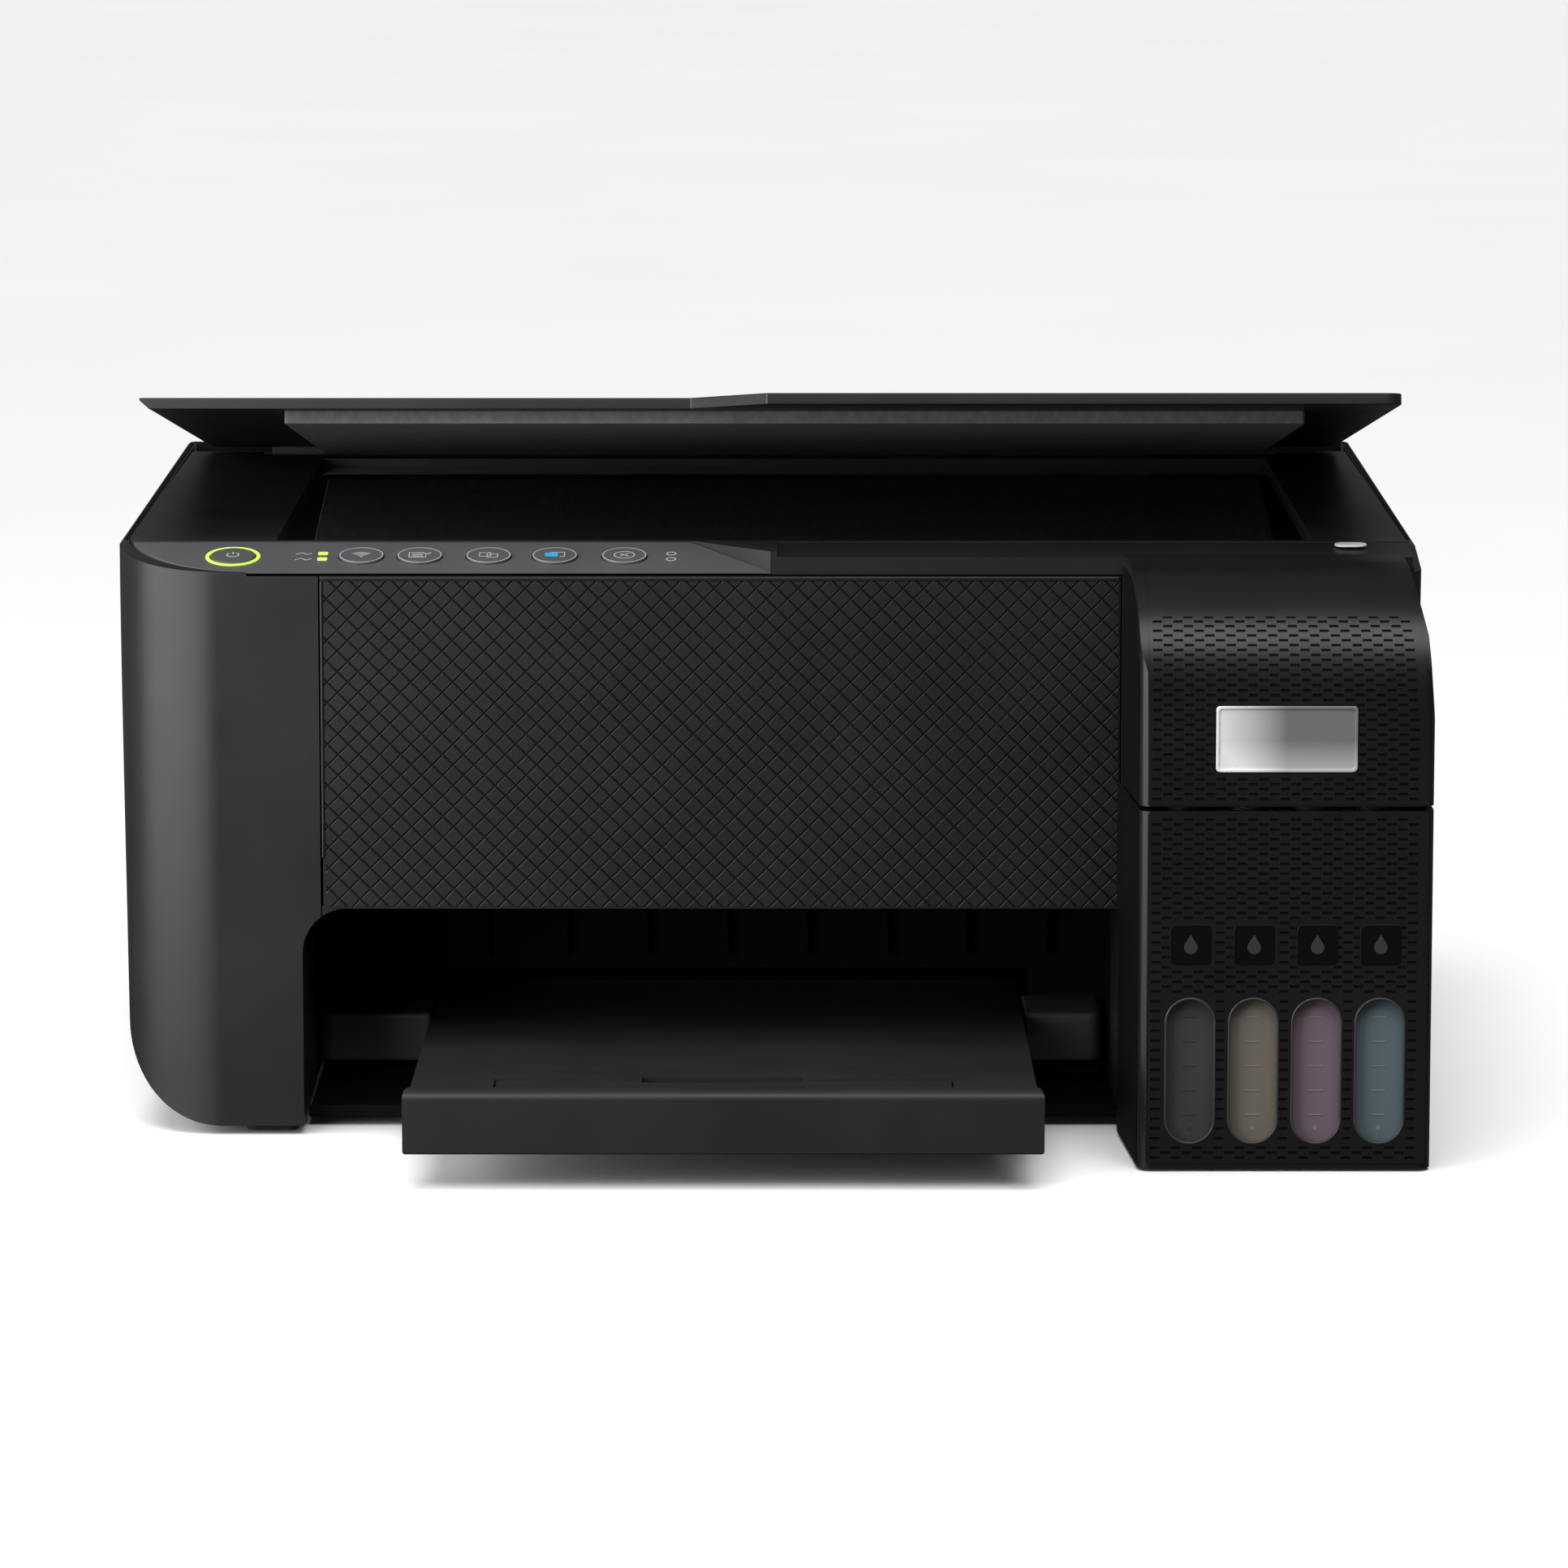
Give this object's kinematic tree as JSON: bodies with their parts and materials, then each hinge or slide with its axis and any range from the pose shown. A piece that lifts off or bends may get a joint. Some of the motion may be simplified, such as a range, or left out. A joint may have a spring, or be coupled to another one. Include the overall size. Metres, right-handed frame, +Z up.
{
  "type": "inkjet printer",
  "caption": "Flatbed inkjet printer and scanner with refillable side tanks, hinged cover ajar, sliding output tray and working paper path.",
  "frame": {"origin": "centre of the printer's footprint with the tray out, on the surface it stands on", "axes": "+X to the right seen from the front, +Y to the rear, +Z up"},
  "size_m": [0.3748, 0.372, 0.2148],
  "materials": {
    "body_black": "satin moulded black with fine grain",
    "panel_black": "satin black with crossed diagonal grooves",
    "tank_black": "satin black with rows of short dashes",
    "inner_black": "matt black inner mouldings",
    "control_grey": "satin mid grey",
    "button_grey": "satin grey button",
    "power_button": "satin grey with a lit green ring",
    "mat_grey": "dark grey backing sheet",
    "glass_dark": "flat scanner glass",
    "tray_black": "satin black tray",
    "badge_silver": "brushed silver foil plate, blank",
    "ink_black": "translucent tank full of black ink",
    "ink_yellow": "translucent tank full of yellow ink, seen dark",
    "ink_magenta": "translucent tank full of magenta ink, seen dark",
    "ink_cyan": "translucent tank full of cyan ink, seen dark",
    "lamp_green": "lit green indicator",
    "print_grey": "printed control symbols",
    "cap_black": "dark grey sealing cap",
    "cap_yellow": "yellow sealing cap",
    "cap_magenta": "magenta sealing cap",
    "cap_cyan": "cyan sealing cap",
    "rubber_black": "black rubber",
    "steel_frame": "zinc plated sheet",
    "steel_screw": "black zinc screws",
    "motor_can": "plain motor can",
    "roller_coat": "ceramic coated shaft and grip rings",
    "acetal_white": "natural acetal",
    "brass_gear": "brass pinion",
    "board_green": "solder masked board",
    "usb_metal": "plated socket shell",
    "tube_dark": "flexible ink tubes",
    "head_metal": "print head plate",
    "psu_case": "black vented case"
  },
  "bodies": {
    "chassis": {"base_tray": "inner_black", "rubber_feet": "rubber_black", "left_side_cover": "body_black", "right_side_cover": "body_black", "rear_cover": "body_black", "front_panel": "panel_black", "exit_frame": "inner_black", "tank_housing": "tank_black", "ink_tank_black": "ink_black", "ink_tank_yellow": "ink_yellow", "ink_tank_magenta": "ink_magenta", "ink_tank_cyan": "ink_cyan", "ink_tubes": "tube_dark", "main_frame": "steel_frame", "platen": "inner_black", "power_supply": "psu_case", "main_board": "board_green", "ac_inlet": "inner_black", "usb_port": "usb_metal", "carriage_motor": "motor_can", "feed_motor": "motor_can", "cap_station": "acetal_white", "screws": "steel_screw", "carriage_belt": "rubber_black", "rear_feeder": "inner_black"},
    "scanner_unit": {"scan_bed": "body_black", "scan_pan": "inner_black", "scanner_glass": "glass_dark", "control_panel": "control_grey"},
    "scanning_head": {"scan_head": "inner_black"},
    "cover": {"document_cover": "body_black", "cover_mat": "mat_grey"},
    "tray": {"output_tray": "tray_black"},
    "stopper": {"paper_stopper": "tray_black"},
    "tank_lid": {"ink_tank_cover": "tank_black", "badge_plate": "badge_silver"},
    "printing_carriage": {"carriage": "inner_black", "print_head": "head_metal"},
    "drive_wheel": {"drive_pulley": "motor_can"},
    "idler_wheel": {"idler_pulley": "acetal_white"},
    "feed_shaft": {"feed_roller": "roller_coat", "feed_gear": "acetal_white"},
    "eject_shaft": {"eject_roller": "roller_coat"},
    "motor_gear": {"motor_pinion": "brass_gear"},
    "pickup_shaft": {"pickup_roller": "roller_coat"},
    "rear_support": {"paper_support": "tray_black"},
    "left_guide": {"edge_guide_left": "inner_black"},
    "right_guide": {"edge_guide_right": "inner_black"},
    "power_button_key": {"power_button": "power_button"},
    "wifi_button_key": {"wifi_button": "button_grey"},
    "status_button_key": {"status_button": "button_grey"},
    "mono_copy_button_key": {"mono_copy_button": "button_grey"},
    "colour_copy_button_key": {"colour_copy_button": "button_grey"},
    "stop_button_key": {"stop_button": "button_grey"},
    "cap_black": {"tank_cap_black": "cap_black"},
    "cap_yellow": {"tank_cap_yellow": "cap_yellow"},
    "cap_magenta": {"tank_cap_magenta": "cap_magenta"},
    "cap_cyan": {"tank_cap_cyan": "cap_cyan"}
  },
  "joints": [
    {"name": "scanner_lift", "type": "hinge", "parent": "chassis", "child": "scanner_unit", "pos_m": [0, 0.158, 0.16], "axis": [-1, 0, 0], "range_deg": [0, 25]},
    {"name": "cover_hinge", "type": "hinge", "parent": "scanner_unit", "child": "cover", "pos_m": [0, 0.154, 0.1672], "axis": [-1, 0, 0], "range_deg": [-8.8, 50]},
    {"name": "scan_head_slide", "type": "slide", "parent": "scanner_unit", "child": "scanning_head", "axis": [1, 0, 0], "range_m": [0, 0.29]},
    {"name": "tray_slide", "type": "slide", "parent": "chassis", "child": "tray", "axis": [0, -1, 0], "range_m": [-0.078, 0.052]},
    {"name": "stopper_flip", "type": "hinge", "parent": "tray", "child": "stopper", "pos_m": [-0.012, -0.178, 0.0261], "axis": [1, 0, 0], "range_deg": [0, 95]},
    {"name": "tank_lid_hinge", "type": "hinge", "parent": "chassis", "child": "tank_lid", "pos_m": [0.144, -0.113, 0.1663], "axis": [-1, 0, 0], "range_deg": [0, 75]},
    {"name": "carriage_slide", "type": "slide", "parent": "chassis", "child": "printing_carriage", "axis": [-1, 0, 0], "range_m": [0, 0.222]},
    {"name": "drive_spin", "type": "hinge", "parent": "chassis", "child": "drive_wheel", "pos_m": [0.146, 0.056, 0.098], "axis": [0, 1, 0], "continuous": true},
    {"name": "idler_spin", "type": "hinge", "parent": "chassis", "child": "idler_wheel", "pos_m": [-0.15, 0.056, 0.098], "axis": [0, 1, 0], "continuous": true},
    {"name": "feed_spin", "type": "hinge", "parent": "chassis", "child": "feed_shaft", "pos_m": [0, 0.07, 0.0734], "axis": [1, 0, 0], "continuous": true},
    {"name": "eject_spin", "type": "hinge", "parent": "chassis", "child": "eject_shaft", "pos_m": [0, -0.008, 0.057], "axis": [1, 0, 0], "continuous": true},
    {"name": "pinion_spin", "type": "hinge", "parent": "chassis", "child": "motor_gear", "pos_m": [-0.172, 0.08213, 0.0944], "axis": [1, 0, 0], "continuous": true},
    {"name": "pickup_spin", "type": "hinge", "parent": "chassis", "child": "pickup_shaft", "pos_m": [0, 0.1403, 0.0804], "axis": [1, 0, 0], "continuous": true},
    {"name": "support_slide", "type": "slide", "parent": "chassis", "child": "rear_support", "axis": [0, 0.2588, 0.9659], "range_m": [0, 0.065]},
    {"name": "left_guide_slide", "type": "slide", "parent": "chassis", "child": "left_guide", "axis": [1, 0, 0], "range_m": [0, 0.045]},
    {"name": "right_guide_slide", "type": "slide", "parent": "chassis", "child": "right_guide", "axis": [1, 0, 0], "range_m": [-0.045, 0]},
    {"name": "power_button_press", "type": "slide", "parent": "scanner_unit", "child": "power_button_key", "axis": [0, 0.2149, -0.9766], "range_m": [0, 0.0005], "stiffness_N_per_m": 900, "springref_m": -0.0006},
    {"name": "wifi_button_press", "type": "slide", "parent": "scanner_unit", "child": "wifi_button_key", "axis": [0, 0.2149, -0.9766], "range_m": [0, 0.0005], "stiffness_N_per_m": 900, "springref_m": -0.0006},
    {"name": "status_button_press", "type": "slide", "parent": "scanner_unit", "child": "status_button_key", "axis": [0, 0.2149, -0.9766], "range_m": [0, 0.0005], "stiffness_N_per_m": 900, "springref_m": -0.0006},
    {"name": "mono_copy_button_press", "type": "slide", "parent": "scanner_unit", "child": "mono_copy_button_key", "axis": [0, 0.2149, -0.9766], "range_m": [0, 0.0005], "stiffness_N_per_m": 900, "springref_m": -0.0006},
    {"name": "colour_copy_button_press", "type": "slide", "parent": "scanner_unit", "child": "colour_copy_button_key", "axis": [0, 0.2149, -0.9766], "range_m": [0, 0.0005], "stiffness_N_per_m": 900, "springref_m": -0.0006},
    {"name": "stop_button_press", "type": "slide", "parent": "scanner_unit", "child": "stop_button_key", "axis": [0, 0.2149, -0.9766], "range_m": [0, 0.0005], "stiffness_N_per_m": 900, "springref_m": -0.0006},
    {"name": "cap_black_hinge", "type": "hinge", "parent": "chassis", "child": "cap_black", "pos_m": [0.1192, -0.124, 0.109], "axis": [-1, 0, 0], "range_deg": [0, 100]},
    {"name": "cap_yellow_hinge", "type": "hinge", "parent": "chassis", "child": "cap_yellow", "pos_m": [0.137, -0.124, 0.109], "axis": [-1, 0, 0], "range_deg": [0, 100]},
    {"name": "cap_magenta_hinge", "type": "hinge", "parent": "chassis", "child": "cap_magenta", "pos_m": [0.1548, -0.124, 0.109], "axis": [-1, 0, 0], "range_deg": [0, 100]},
    {"name": "cap_cyan_hinge", "type": "hinge", "parent": "chassis", "child": "cap_cyan", "pos_m": [0.1726, -0.124, 0.109], "axis": [-1, 0, 0], "range_deg": [0, 100]}
  ],
  "couplings": [
    {"joint": "drive_spin", "follows": "carriage_slide", "rad_per_m": 166.67},
    {"joint": "idler_spin", "follows": "carriage_slide", "rad_per_m": 166.67},
    {"joint": "pinion_spin", "follows": "feed_spin", "ratio": -3},
    {"joint": "eject_spin", "follows": "feed_spin", "ratio": -1.2727},
    {"joint": "pickup_spin", "follows": "feed_spin", "ratio": 0.5833},
    {"joint": "right_guide_slide", "follows": "left_guide_slide", "ratio": -1}
  ]
}
